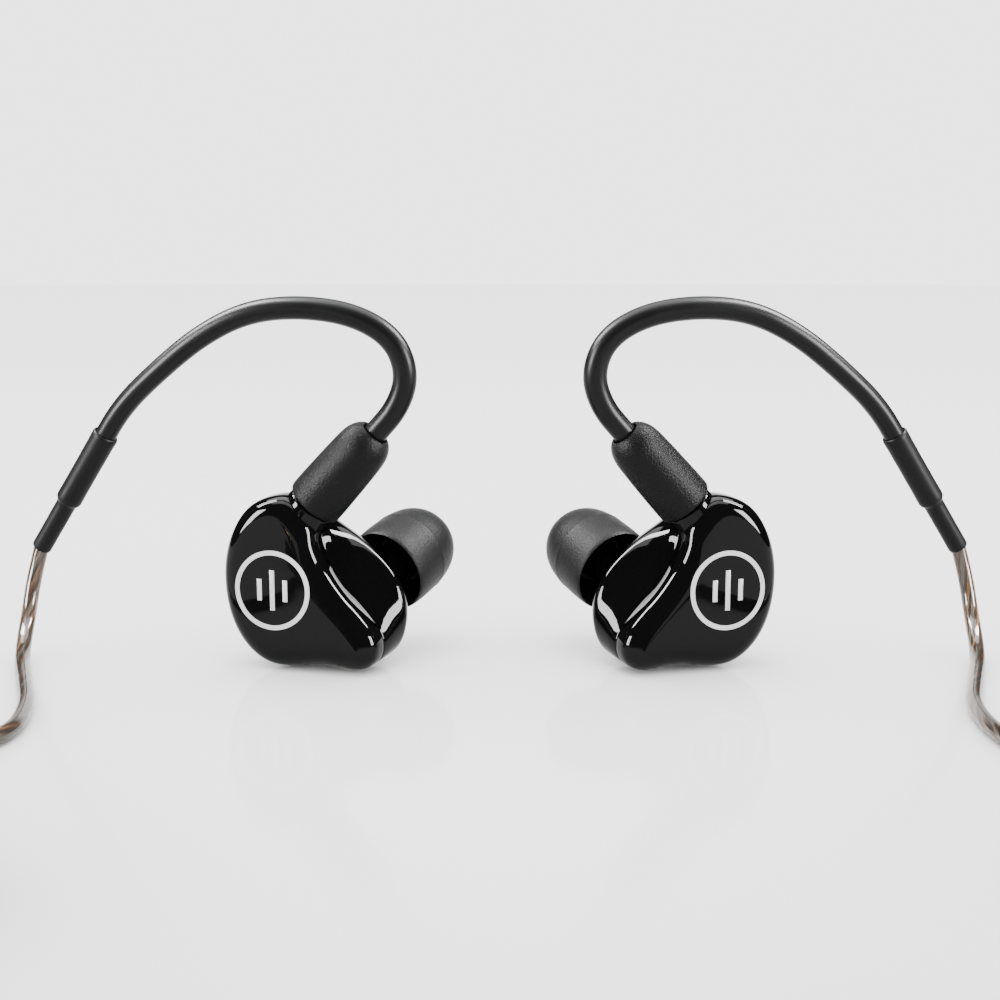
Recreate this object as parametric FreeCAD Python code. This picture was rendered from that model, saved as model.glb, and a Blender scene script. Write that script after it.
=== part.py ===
import FreeCAD, Part
import math
import os

# A pair of over-ear in-ear monitors with detachable cables, in millimetres.
# +Z is up, +Y runs from the faceplates towards the ear tips, and X = 0 is the plane of
# symmetry between the two earpieces. They stand on the feet of their shells at Z = 0.
# One earpiece is modelled in its own frame and mirrored. In that frame X runs across the
# faceplate, Y goes inwards from the faceplate towards the ear canal, and Z is up.

os.makedirs("parts", exist_ok=True)
Vector = FreeCAD.Vector

# ---- driving dimensions ----
face_place = Vector(-31.2, -9.6, 11.4)  # centre of the face ring of the right earpiece
face_turn = 17.0                        # how far each faceplate is turned outwards, degrees
seam_depth = 4.5                        # depth of the faceplate shell, down to the seam
edge_radius = 1.9                       # rounding of the faceplate's front edge
wall = 0.9                              # thickness of the moulded shell walls

connector_angle = 47.5                  # connector axis above the horizontal, in the face plane
connector_base = Vector(4.4, 4.8, 11.6)  # where the connector axis meets the boot's lower end
boot_radius = 4.0
boot_top_radius = 3.7
boot_length = 13.6
hook_radius = 1.52
hook_bore = 1.15
sleeve_radius = 1.82
sleeve_tail_radius = 1.4
sleeve_bore = 1.08
cable_diameter = 2.1
trunk_diameter = 2.2

nozzle_start = Vector(8.8, 8.3, -2.0)   # a point of the nozzle axis inside the shell
nozzle_axis = Vector(0.264, 0.911, 0.318)
nozzle_radius = 2.7
nozzle_bore = 2.0
tip_radius = 6.25
tip_length = 12.4

driver_radius = 5.0

# ---- helpers ----


def unit(vector):
    result = Vector(vector)
    result.normalize()
    return result


def cylinder(start, axis, radius, length):
    return Part.makeCylinder(radius, length, start, axis)


def ring(start, axis, outer, inner, length):
    direction = unit(axis)
    bore = cylinder(start - direction, direction, inner, length + 2)
    return cylinder(start, direction, outer, length).cut(bore)


def turned(stretches, start, axis):
    """A solid of revolution. Each stretch is a list of (distance along axis, radius):
    two places make a straight line, and more make a smooth curve through them."""
    edges = []
    for stretch in stretches:
        places = [Vector(radius, 0, along) for along, radius in stretch]
        if len(places) == 2:
            edges.append(Part.LineSegment(*places).toShape())
        else:
            curve = Part.BSplineCurve()
            curve.interpolate(places)
            edges.append(curve.toShape())
    solid = Part.Face(Part.Wire(edges)).revolve(Vector(0, 0, 0), Vector(0, 0, 1), 360)
    solid.rotate(Vector(0, 0, 0), *turn_from_z(axis))
    solid.translate(start)
    return solid


def turn_from_z(axis):
    rotation = FreeCAD.Rotation(Vector(0, 0, 1), axis)
    return rotation.Axis, math.degrees(rotation.Angle)


def closed_outline(points, depth):
    curve = Part.BSplineCurve()
    curve.interpolate([Vector(x, depth, z) for x, z in points], PeriodicFlag=True)
    return Part.Wire(curve.toShape())


def shrunk(points, amount):
    """The same outline moved inwards by a constant amount."""
    result = []
    count = len(points)
    for index, (x, z) in enumerate(points):
        before = points[index - 1]
        after = points[(index + 1) % count]
        along = unit(Vector(after[0] - before[0], 0, after[1] - before[1]))
        result.append((x - along.z * amount, z + along.x * amount))
    return result


def rounded_route(points, name):
    """Straight runs joined by tangent arcs, each as large as its two runs allow."""
    edges = []
    start = points[0]
    radii = []
    for index in range(1, len(points) - 1):
        corner = points[index]
        back = points[index - 1] - corner
        ahead = points[index + 1] - corner
        turn = math.pi - back.getAngle(ahead)
        trim = 0.45 * min(back.Length, ahead.Length)
        radii.append(trim / math.tan(turn / 2))
        enter = corner + unit(back) * trim
        leave = corner + unit(ahead) * trim
        bisector = unit(unit(back) + unit(ahead))
        to_centre = math.hypot(trim, radii[-1])
        middle = corner + bisector * (to_centre - radii[-1])
        edges.append(Part.LineSegment(start, enter).toShape())
        edges.append(Part.Arc(enter, middle, leave).toShape())
        start = leave
    edges.append(Part.LineSegment(start, points[-1]).toShape())
    print(name, "radii", [round(radius, 1) for radius in radii])
    return Part.Wire(edges)


def tube(points, radius, name):
    path = rounded_route(points, name)
    start = points[0]
    section = Part.Wire(Part.makeCircle(radius, start, unit(points[1] - start)))
    solid = path.makePipeShell([section], True, True)
    expected = math.pi * radius ** 2 * path.Length
    print(name, "length", round(path.Length, 1), "volume ratio", round(solid.Volume / expected, 3))
    return solid


def save(name, shape):
    shape.exportStep("parts/" + name + ".step")


ear_placement = FreeCAD.Placement(face_place, FreeCAD.Rotation(Vector(0, 0, 1), -face_turn))


def to_world(point):
    return ear_placement.multVec(point)


def mirrored(shape):
    return shape.mirror(Vector(0, 0, 0), Vector(1, 0, 0))


def save_pair(name, shape):
    """shape is the right earpiece's, already in the row frame."""
    save("right_" + name, shape)
    save("left_" + name, mirrored(shape))


def save_ear(name, shape):
    """shape is in the earpiece's own frame."""
    placed = shape.copy()
    placed.Placement = ear_placement.multiply(placed.Placement)
    save_pair(name, placed)


# ---- outlines of the shell, seen from the front, as (across, up) ----
seam_outline = [
    (2.1, 12.7), (-1.6, 12.6), (-5.0, 10.5), (-7.4, 6.1), (-8.1, 1.2), (-7.4, -3.9), (-5.3, -8.0),
    (-2.2, -10.5), (1.3, -11.1), (6.8, -10.4), (11.6, -11.0), (14.2, -9.6), (14.5, -6.6),
    (12.4, -3.4), (9.4, -0.2), (7.0, 3.1), (5.7, 6.1), (5.1, 9.0),
]
ear_side_outline = [
    (1.9, 11.3), (-1.5, 11.1), (-4.3, 9.2), (-6.3, 5.3), (-6.9, 1.0), (-6.2, -3.7), (-4.3, -7.6),
    (-1.8, -10.1), (1.5, -10.9), (7.3, -10.4), (12.4, -10.7), (15.2, -8.6), (16.2, -5.1),
    (15.9, -1.6), (14.2, 1.7), (11.7, 4.4), (9.0, 6.5), (5.5, 8.8),
]
ear_side_depth = 9.0

nozzle_direction = unit(nozzle_axis)
connector = Vector(math.cos(math.radians(connector_angle)), 0, math.sin(math.radians(connector_angle)))


def on_nozzle(along):
    return nozzle_start + nozzle_direction * along


def on_connector(along):
    return connector_base + connector * along


def scaled(points, centre, factor):
    return [(centre[0] + (x - centre[0]) * factor, centre[1] + (z - centre[1]) * factor) for x, z in points]


# ---- shell: an outer faceplate and an inner shell that carries the nozzle ----
collar_radius = 3.55
boot_gap = 0.15
socket_radius = 2.3
nozzle_end = 16.4
back_centre = (8.8, -0.6)


def faceplate():
    body = Part.Face(closed_outline(seam_outline, 0)).extrude(Vector(0, seam_depth, 0))
    front_edges = [edge for edge in body.Edges if edge.BoundBox.YMax < 0.01]
    body = body.makeFillet(edge_radius, front_edges)
    inside = shrunk(seam_outline, wall)
    hollow = Part.Face(closed_outline(inside, 1.2)).extrude(Vector(0, seam_depth, 0))
    return body.cut(hollow)


def inner_sections(inset):
    rear = 1.0 - inset * 0.1
    return [
        closed_outline(shrunk(seam_outline, inset), seam_depth),
        closed_outline(shrunk(ear_side_outline, inset), ear_side_depth),
        closed_outline(scaled(shrunk(ear_side_outline, inset), back_centre, 0.80), 12.2 - inset),
        closed_outline(scaled(shrunk(ear_side_outline, inset), back_centre, 0.45 * rear), 14.2 - inset),
    ]


def inner_shell():
    body = Part.makeLoft(inner_sections(0), True)
    hollow = Part.makeLoft(inner_sections(wall), True)
    nozzle = turned(
        [[(0, 0), (0, 5.6)], [(0, 5.6), (2.6, 5.0), (4.6, 3.6), (6.4, nozzle_radius)],
         [(6.4, nozzle_radius), (13.6, nozzle_radius)], [(13.6, nozzle_radius), (13.9, 3.0)],
         [(13.9, 3.0), (14.6, 3.0)], [(14.6, 3.0), (14.9, nozzle_radius)],
         [(14.9, nozzle_radius), (nozzle_end, nozzle_radius)], [(nozzle_end, nozzle_radius), (nozzle_end, 0)],
         [(nozzle_end, 0), (0, 0)]],
        nozzle_start, nozzle_direction)
    bore = cylinder(on_nozzle(1.5), nozzle_direction, nozzle_bore, 20)
    grille_seat = cylinder(on_nozzle(nozzle_end - 0.5), nozzle_direction, 2.4, 2)
    return body.fuse(nozzle).cut(hollow).cut(bore).cut(grille_seat)


def collar_half(front):
    collar = cylinder(on_connector(-7.5), connector, collar_radius, 7.5 - boot_gap)
    if front:
        keep = Part.makeBox(60, 30, 60, Vector(-30, seam_depth - 30, -30))
    else:
        keep = Part.makeBox(60, 30, 60, Vector(-30, seam_depth, -30))
    return collar.common(keep)


socket_hole = cylinder(on_connector(-6.0), connector, socket_radius, 20)
socket_hole_below = cylinder(on_connector(-12), connector, 1.9, 8)
above_shell = cylinder(on_connector(-boot_gap), connector, 9, 30)

face = faceplate().fuse(collar_half(True)).cut(socket_hole).cut(socket_hole_below).cut(above_shell)
shell = inner_shell().fuse(collar_half(False)).cut(socket_hole).cut(socket_hole_below).cut(above_shell)

# the face ring is a thin inlay in a groove of the faceplate, with a plain three-bar emblem
inlay_depth = 0.25
ring_outer = 5.55
ring_inner = 4.9
bar_width = 0.7
bar_pitch = 1.9
bar_heights = [3.0, 5.6, 3.0]


def face_inlay():
    start = Vector(0, 0, 0)
    result = ring(start, Vector(0, 1, 0), ring_outer, ring_inner, inlay_depth)
    solids = [result]
    for index, height in enumerate(bar_heights):
        left = (index - 1) * bar_pitch - bar_width / 2
        solids.append(Part.makeBox(bar_width, inlay_depth, height, Vector(left, 0, -height / 2)))
    return Part.makeCompound(solids)


inlay = face_inlay()
face = face.cut(inlay)
save_ear("faceplate", face)
save_ear("face_inlay", inlay)
save_ear("inner_shell", shell)

# ---- nozzle: pierced grille and foam damper ----
grille_place = on_nozzle(nozzle_end - 0.5)
grille = cylinder(grille_place, nozzle_direction, 2.4, 0.3)
side_way = unit(nozzle_direction.cross(Vector(0, 0, 1)))
up_way = side_way.cross(nozzle_direction)
hole_rows = [(0, 1), (0.85, 6), (1.65, 12)]
for distance, count in hole_rows:
    for index in range(count):
        angle = 2 * math.pi * index / count
        place = grille_place + side_way * (distance * math.cos(angle)) + up_way * (distance * math.sin(angle))
        grille = grille.cut(cylinder(place - nozzle_direction, nozzle_direction, 0.24, 3))
save_ear("nozzle_grille", grille)
save_ear("nozzle_damper", cylinder(on_nozzle(11.0), nozzle_direction, nozzle_bore, 1.2))

# ---- ear tip: a soft skirt around a core that grips the nozzle ----
tip_start = 7.4
core_bore = 3.1
tip = turned(
    [[(0, tip_radius), (3.0, 6.4), (6.1, 6.3), (8.7, 5.85), (10.5, 5.1), (11.8, 4.0), (tip_length, 2.7)],
     [(tip_length, 2.7), (tip_length, 2.1)], [(tip_length, 2.1), (9.3, 2.1)], [(9.3, 2.1), (9.3, core_bore)],
     [(9.3, core_bore), (3.8, core_bore)], [(3.8, core_bore), (3.8, 3.6)], [(3.8, 3.6), (9.0, 3.6)],
     [(9.0, 3.6), (9.6, 4.7), (8.3, 5.4), (5.8, 5.85), (3.0, 5.98), (0, 5.85)], [(0, 5.85), (0, tip_radius)]],
    on_nozzle(tip_start), nozzle_direction)
save_ear("ear_tip", tip)

# ---- dynamic driver inside the inner shell, facing the ear ----
driver_centre = Vector(3.6, 0, -1.7)
inwards = Vector(0, 1, 0)


def at_driver(depth):
    return driver_centre + inwards * depth


frame_cup = cylinder(at_driver(5.2), inwards, driver_radius, 4.2)
frame_cup = frame_cup.cut(cylinder(at_driver(5.6), inwards, driver_radius - 0.35, 5))
frame_cup = frame_cup.cut(cylinder(at_driver(5.0), inwards, 0.8, 1))
save_ear("driver_frame", frame_cup)
save_ear("driver_magnet", ring(at_driver(5.6), inwards, 3.4, 0.8, 1.4))
save_ear("driver_voice_coil", ring(at_driver(7.2), inwards, 2.5, 2.25, 1.3))
dome = turned(
    [[(0, 0), (-0.5, 1.2), (-0.8, 2.25)], [(-0.8, 2.25), (-0.8, 2.5)],
     [(-0.8, 2.5), (-0.45, 3.5), (-0.75, driver_radius - 0.36)],
     [(-0.75, driver_radius - 0.36), (-0.63, driver_radius - 0.36)],
     [(-0.63, driver_radius - 0.36), (-0.33, 3.5), (-0.68, 2.5)], [(-0.68, 2.5), (-0.68, 2.25)],
     [(-0.68, 2.25), (-0.38, 1.2), (0.12, 0)], [(0.12, 0), (0, 0)]],
    at_driver(9.4), Vector(0, 1, 0))
save_ear("driver_diaphragm", dome)

# ---- detachable connector: socket in the shell, plug with a snap ring in the boot ----
socket = ring(on_connector(-5.6), connector, socket_radius, 1.85, 5.3)
save_ear("socket_sleeve", socket)
save_ear("socket_insulator", ring(on_connector(-5.6), connector, 1.85, 0.55, 1.2))
save_ear("socket_contact", ring(on_connector(-6.2), connector, 0.55, 0.38, 4.2))
groove = ring(on_connector(-2.7), connector, 2, 1.4, 0.6)
barrel = ring(on_connector(-4.0), connector, 1.6, 1.2, 7.5).fuse(ring(on_connector(0.3), connector, 2.3, 1.2, 3.2))
save_ear("plug_barrel", barrel.cut(groove))
save_ear("plug_insulator", ring(on_connector(-1.5), connector, 1.2, 0.3, 4.5))
save_ear("plug_pin", cylinder(on_connector(-3.2), connector, 0.3, 7.4))
split_ring = ring(on_connector(-2.65), connector, 1.78, 1.46, 0.5)
slit = Part.makeBox(1, 0.6, 1, Vector(-3, -0.3, -0.5))
slit.rotate(Vector(0, 0, 0), *turn_from_z(connector))
slit.translate(on_connector(-2.4))
save_ear("snap_ring", split_ring.cut(slit))

wire_radius = 0.18
for_wires = []
for side in (-1, 1):
    offset = Vector(0, side * 0.9, 0)
    lead_route = [
        on_connector(-6.3) + offset, on_connector(-7.6) + offset, Vector(-2.0, 4.7 + side * 0.5, 4.6),
        Vector(-1.6, 4.6 + side * 0.2, 2.4), Vector(0.2, 4.9, 0.4 - side * 0.9),
    ]
    for_wires.append(tube(lead_route, wire_radius, "lead wire"))
save_ear("lead_wires", Part.makeCompound(for_wires))

# ---- boot: a moulded sleeve with a domed top and a recess that the hook rises from ----
boot = turned(
    [[(0, 2.5), (0, 3.8)], [(0, 3.8), (0.12, 3.95), (0.4, boot_radius)],
     [(0.4, boot_radius), (10.8, boot_top_radius)],
     [(10.8, boot_top_radius), (12.4, 3.3), (13.3, 2.7), (boot_length, 2.15)],
     [(boot_length, 2.15), (12.9, 1.9)], [(12.9, 1.9), (12.5, 1.56)], [(12.5, 1.56), (4.6, 1.56)],
     [(4.6, 1.56), (4.6, 2.5)], [(4.6, 2.5), (0, 2.5)]],
    connector_base, connector)
save_ear("boot", boot)

# ---- hook: everything in one plane that holds the connector axis ----
hook_foot = to_world(on_connector(5.2))
hook_way = unit(to_world(on_connector(10)) - to_world(on_connector(0)))
hook_end = Vector(-65.9, 1.65, 15.25)
hook_normal = unit(hook_way.cross(hook_end - hook_foot))


def in_hook_plane(x, z):
    """The point of the hook's plane at this place across and up."""
    along = (hook_normal.x * (x - hook_foot.x) + hook_normal.z * (z - hook_foot.z)) / hook_normal.y
    return Vector(x, hook_foot.y - along, z)


hook_front_view = [
    (-12.3, 41.1), (-14.1, 45.9), (-19.4, 49.0), (-26.6, 50.0), (-33.8, 49.3), (-40.3, 46.2), (-46.4, 41.5),
]
sleeve_top_front = (-54.95, 32.1)


def on_sleeve_line(height):
    """The hook's end and its sleeve lie on one straight line."""
    share = (height - hook_end.z) / (sleeve_top_front[1] - hook_end.z)
    return in_hook_plane(hook_end.x + share * (sleeve_top_front[0] - hook_end.x), height)


sleeve_end = on_sleeve_line(hook_end.z)
sleeve_step = on_sleeve_line(22.5)
sleeve_top = on_sleeve_line(sleeve_top_front[1])
hook_route = [hook_foot, hook_foot + hook_way * 13.2]
hook_route += [in_hook_plane(x, z) for x, z in hook_front_view]
hook_route += [on_sleeve_line(36.1), sleeve_step]


def shifted(points, amount):
    return [point + hook_normal * amount for point in points]


hook_outer = tube(hook_route, hook_radius, "ear hook")
hook_inner = tube(hook_route, hook_bore, "hook bore")
save_pair("ear_hook", hook_outer.cut(hook_inner))
save_pair("memory_wire", tube(shifted(hook_route, 0.62), 0.4, "memory wire"))
save_pair("hook_core", tube(shifted(hook_route[:-1] + [sleeve_end], -0.55), 0.5, "hook core"))


def hook_sleeve():
    """A shrink sleeve over the hook's end, with a narrower tail that the cable leaves."""
    long = (sleeve_step - sleeve_top).Length
    whole = (sleeve_end - sleeve_top).Length
    hook_hole = hook_radius + 0.02
    lip = sleeve_radius - 0.16
    shoulder = long + 0.5
    return turned(
        [[(0, hook_hole), (0, lip)], [(0, lip), (0.16, sleeve_radius)],
         [(0.16, sleeve_radius), (long - 0.1, sleeve_radius)],
         [(long - 0.1, sleeve_radius), (long + 0.25, 1.72), (shoulder, sleeve_tail_radius)],
         [(shoulder, sleeve_tail_radius), (whole, sleeve_tail_radius)],
         [(whole, sleeve_tail_radius), (whole, sleeve_bore)], [(whole, sleeve_bore), (long, sleeve_bore)],
         [(long, sleeve_bore), (long, hook_hole)], [(long, hook_hole), (0, hook_hole)]],
        sleeve_top, unit(sleeve_end - sleeve_top))


save_pair("hook_sleeve", hook_sleeve())

# ---- free cables: a branch from each hook, and a trunk wound into a coil with its plug on top ----
# The right branch takes one turn and a quarter at the foot of the coil before it meets the left
# branch at the split, so that both branches are the same length. The coil's solid holds those
# turns and the trunk's, side by side and on each other.
cable_radius = cable_diameter / 2
trunk_radius = trunk_diameter / 2
floor_height = cable_radius + 0.02
trunk_floor = trunk_radius + 0.02
coil_centre = Vector(-62.0, -91.5, 0.6)
coil_inner = 8.2
coil_outer = 14.8
coil_height = 8.8

split_x = -80.6
split_start = -85.0
split_length = 9.0
split_half_width = 3.1
split_thickness = 4.4
split_height = split_thickness / 2
port_spacing = 2.6
slider_length = 5.5
slider_gap = 0.6
cable_clearance = 0.12


def on_floor(places):
    return [Vector(x, y, floor_height) for x, y in places]


# where each branch leaves its sleeve and comes down, given for the right earpiece
drop = [sleeve_end, Vector(-67.2, 1.5, 10.6), Vector(-67.6, -0.1, 6.0), Vector(-67.4, -3.8, 2.5)]
forward = [(-66.0, -9.4), (-62.8, -18.6), (-58.9, -30.4)]
left_x = split_x - port_spacing / 2
right_x = split_x + port_spacing / 2

right_branch_out = drop + on_floor(forward + [
    (-57.6, -42.0), (-63.6, -49.2), (-66.2, -56.0), (-61.6, -61.6), (-55.8, -68.0), (-51.2, -76.0),
    (-48.9, -82.4), (-48.3, -88.4),
])
right_branch_in = on_floor([(-62.8, -105.2), (-71.2, -107.4), (-77.2, -105.2)])
right_branch_in += [Vector(right_x, -99.4, split_height), Vector(right_x, split_start, split_height)]
left_branch = [Vector(-point.x, point.y, point.z) for point in drop + on_floor(forward)]
left_branch += on_floor([
    (58.6, -43.0), (62.0, -54.0), (60.6, -67.5), (54.6, -80.0), (51.0, -94.0), (42.2, -106.0), (27.5, -112.2),
    (11.0, -114.0), (-6.0, -112.6), (-23.0, -114.2), (-40.0, -112.8), (-55.0, -114.0), (-68.4, -113.6),
    (-78.0, -109.6),
])
left_branch += [Vector(left_x, -101.0, split_height), Vector(left_x, split_start, split_height)]
save("right_cable", Part.makeCompound([
    tube(right_branch_out, cable_radius, "right cable, from the hook to the coil"),
    tube(right_branch_in, cable_radius, "right cable, from the coil to the split")]))
save("left_cable", tube(left_branch, cable_radius, "left cable"))

plug_height = 12.6
plug_head_centre = Vector(-73.4, -85.2, plug_height)
plug_head_size = Vector(7.0, 7.0, 6.2)
relief_length = 7.8
relief_end = plug_head_centre - Vector(0, plug_head_size.y / 2 + relief_length, 0)
split_end = Vector(split_x, split_start + split_length, split_height)
trunk_in = [
    split_end, Vector(split_x, -71.0, split_height), Vector(-77.6, -65.8, trunk_floor), Vector(-72.2, -64.6, trunk_floor),
    Vector(-67.4, -68.4, 1.9), Vector(-62.0, -75.0, 3.8), Vector(-54.8, -79.2, 5.6),
]
trunk_out = [
    relief_end, Vector(-73.4, -100.4, plug_height), Vector(-69.6, -103.1, 10.8), Vector(-64.4, -104.0, 9.0),
    Vector(-60.0, -103.6, 7.6),
]
save("trunk_cable", Part.makeCompound([
    tube(trunk_in, trunk_radius, "trunk, from the split to the coil"),
    tube(trunk_out, trunk_radius, "trunk, from the coil to the plug")]))


def rounded_box(low, high, radius):
    size = high - low
    box = Part.makeBox(size.x, size.y, size.z, low)
    return box.makeFillet(radius, box.Edges)


upwards = Vector(0, 0, 1)
coil = ring(coil_centre, upwards, coil_outer, coil_inner, coil_height)
save("trunk_coil", coil.makeFillet(1.0, coil.Edges))

# the tie is a strap closed round the section of the coil
tie_width = 5.0
tie_thickness = 0.5
tie_low = Vector(coil_inner - 0.5, -tie_width / 2, -0.05)
tie_high = Vector(coil_outer + 0.05, tie_width / 2, coil_height + 0.05)
strap = Vector(tie_thickness, 0, tie_thickness)
tie_space = Part.makeBox(tie_high.x - tie_low.x, 3 * tie_width, tie_high.z - tie_low.z,
                         tie_low - Vector(0, tie_width, 0))
tie = rounded_box(tie_low - strap, tie_high + strap, 0.2).cut(tie_space)
tie.translate(coil_centre)
save("cable_tie", tie)

# the split joins the branches, and the slider runs along them towards the ears
split_low = Vector(split_x - split_half_width, split_start, 0.02)
split_high = Vector(split_x + split_half_width, split_end.y, split_thickness)
save("cable_split", rounded_box(split_low, split_high, 1.2))
slider_low = Vector(split_low.x, split_start - slider_gap - slider_length, split_low.z)
slider_high = Vector(split_high.x, split_start - slider_gap, split_high.z)
slider = rounded_box(slider_low, slider_high, 0.8)
along_split = Vector(0, 1, 0)
for x in (left_x, right_x):
    hole_start = Vector(x, slider_low.y - 1, split_height)
    slider = slider.cut(cylinder(hole_start, along_split, cable_radius + cable_clearance, slider_length + 2))
save("chin_slider", slider)

# ---- plug: a right-angled 3.5 mm stereo plug with a moulded head ----
contact_radius = 1.75
core_radius = 1.6
inside_head = -2.5
sleeve_length = 8.0
ring_start = 8.5
ring_end = 10.2
tip_front = 10.7
plug_way = Vector(1, 0, 0)
shoulder_length = 0.8
plug_start = plug_head_centre + plug_way * (plug_head_size.x / 2 + shoulder_length)
head = rounded_box(plug_head_centre - plug_head_size * 0.5, plug_head_centre + plug_head_size * 0.5, 1.5)
pin_hole = cylinder(plug_start + plug_way * inside_head, plug_way, core_radius, 10)
save("plug_head", head.cut(pin_hole).cut(cylinder(relief_end, along_split, 2.3, relief_length + 1.5)))
relief = turned(
    [[(0, 0), (0, 1.35)], [(0, 1.35), (relief_length - 1, 2.3)],
     [(relief_length - 1, 2.3), (relief_length + 1.5, 2.3)],
     [(relief_length + 1.5, 2.3), (relief_length + 1.5, 0)], [(relief_length + 1.5, 0), (0, 0)]],
    relief_end, along_split)
save("plug_strain_relief", relief)


def stepped(inner, tube_outer, collar_from, collar_to):
    """A contact or insulator: a tube that runs into the head, with a collar at full diameter."""
    back = ring(plug_start + plug_way * inside_head, plug_way, tube_outer, inner, collar_from - inside_head)
    return back.fuse(ring(plug_start + plug_way * collar_from, plug_way, contact_radius, inner,
                          collar_to - collar_from))


shoulder = ring(plug_start - plug_way * shoulder_length, plug_way, 2.6, 1.25, shoulder_length)
sleeve_core = ring(plug_start + plug_way * inside_head, plug_way, core_radius, 1.25, -inside_head)
sleeve_contact = ring(plug_start, plug_way, contact_radius, 1.25, sleeve_length).fuse(sleeve_core)
save("plug_sleeve_contact", sleeve_contact.fuse(shoulder))
save("plug_ring_contact", stepped(0.75, 0.95, ring_start, ring_end))
save("plug_insulators", Part.makeCompound([
    stepped(0.95, 1.25, sleeve_length, ring_start), stepped(0.5, 0.75, ring_end, tip_front)]))
tip_contact = turned(
    [[(inside_head, 0), (inside_head, 0.5)], [(inside_head, 0.5), (tip_front, 0.5)],
     [(tip_front, 0.5), (tip_front, contact_radius)], [(tip_front, contact_radius), (11.1, contact_radius)],
     [(11.1, contact_radius), (11.9, 1.3)], [(11.9, 1.3), (12.5, 1.6), (13.1, 1.45)],
     [(13.1, 1.45), (14.0, 0.5)], [(14.0, 0.5), (14.0, 0)], [(14.0, 0), (inside_head, 0)]],
    plug_start, plug_way)
save("plug_tip_contact", tip_contact)
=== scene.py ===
import bpy
from math import cos, sin, pi, radians, atan2
from mathutils import Matrix, Vector


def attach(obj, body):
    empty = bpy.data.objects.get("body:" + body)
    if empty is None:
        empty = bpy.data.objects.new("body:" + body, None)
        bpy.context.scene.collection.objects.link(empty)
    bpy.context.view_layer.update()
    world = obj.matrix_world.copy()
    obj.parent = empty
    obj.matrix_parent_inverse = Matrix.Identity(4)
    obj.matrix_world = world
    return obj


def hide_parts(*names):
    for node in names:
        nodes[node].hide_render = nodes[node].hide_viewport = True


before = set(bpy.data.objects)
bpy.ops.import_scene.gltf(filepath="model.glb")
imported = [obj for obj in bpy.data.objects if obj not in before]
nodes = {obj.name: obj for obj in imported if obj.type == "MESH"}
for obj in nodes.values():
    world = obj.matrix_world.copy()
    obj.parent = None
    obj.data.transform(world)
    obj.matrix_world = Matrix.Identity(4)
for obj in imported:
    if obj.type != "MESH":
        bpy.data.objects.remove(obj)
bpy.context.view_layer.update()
mm = 0.001  # every length below is written in millimetres and scaled by this
print("frame loaded:", len(nodes), "nodes")

# the right earpiece's own frame: X across the faceplate, Y inwards to the ear, Z up
earFrame = Matrix.Translation(Vector((-31.2, -9.6, 11.4)) * mm) @ Matrix.Rotation(radians(-17), 4, "Z")
flipX = Matrix.Scale(-1, 4, (1, 0, 0))


def deselectAll():
    if bpy.context.object and bpy.context.object.mode != "OBJECT":
        bpy.ops.object.mode_set(mode="OBJECT")
    bpy.ops.object.select_all(action="DESELECT")


def pick(obj):
    deselectAll()
    obj.select_set(True)
    bpy.context.view_layer.objects.active = obj


def bakePlace(obj, matrix):  # the place goes into the mesh, and the object stays at the origin
    pick(obj)
    obj.matrix_world = matrix @ obj.matrix_world
    bpy.ops.object.transform_apply(location=True, rotation=True, scale=True)
    return obj


def facesOutward(obj, mergeAt=0.002 * mm):
    pick(obj)
    bpy.ops.object.mode_set(mode="EDIT")
    bpy.ops.mesh.select_all(action="SELECT")
    bpy.ops.mesh.remove_doubles(threshold=mergeAt)
    bpy.ops.mesh.normals_make_consistent(inside=False)
    bpy.ops.object.mode_set(mode="OBJECT")
    middle = sum((v.co for v in obj.data.vertices), Vector()) / len(obj.data.vertices)
    outward = sum((face.center - middle).dot(face.normal) * face.area for face in obj.data.polygons)
    if outward < 0:  # an open shell can come out facing inwards
        bpy.ops.object.mode_set(mode="EDIT")
        bpy.ops.mesh.flip_normals()
        bpy.ops.object.mode_set(mode="OBJECT")


def applyModifier(obj, kind, **settings):
    pick(obj)
    mod = obj.modifiers.new(kind.title(), kind)
    for key, value in settings.items():
        setattr(mod, key, value)
    bpy.ops.object.modifier_apply(modifier=mod.name)


def roundEdges(obj, width, angle):
    applyModifier(
        obj, "BEVEL", width=width * mm, segments=2, limit_method="ANGLE", angle_limit=radians(angle))


def smoothShade(obj, angle=40):
    pick(obj)
    bpy.ops.object.shade_smooth_by_angle(angle=radians(angle))


def leftCopy(obj, name):  # the mirrored piece for the left earpiece, with its own mesh
    copy = obj.copy()
    copy.data = obj.data.copy()
    copy.name = name
    copy.data.name = name
    bpy.context.scene.collection.objects.link(copy)
    bakePlace(copy, flipX)
    pick(copy)
    bpy.ops.object.mode_set(mode="EDIT")
    bpy.ops.mesh.select_all(action="SELECT")
    bpy.ops.mesh.flip_normals()
    bpy.ops.object.mode_set(mode="OBJECT")
    return copy


def alongAxis(start, axis):  # local Z runs along the axis
    return Matrix.Translation(start) @ Vector(axis).to_track_quat("Z", "Y").to_matrix().to_4x4()


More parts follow.
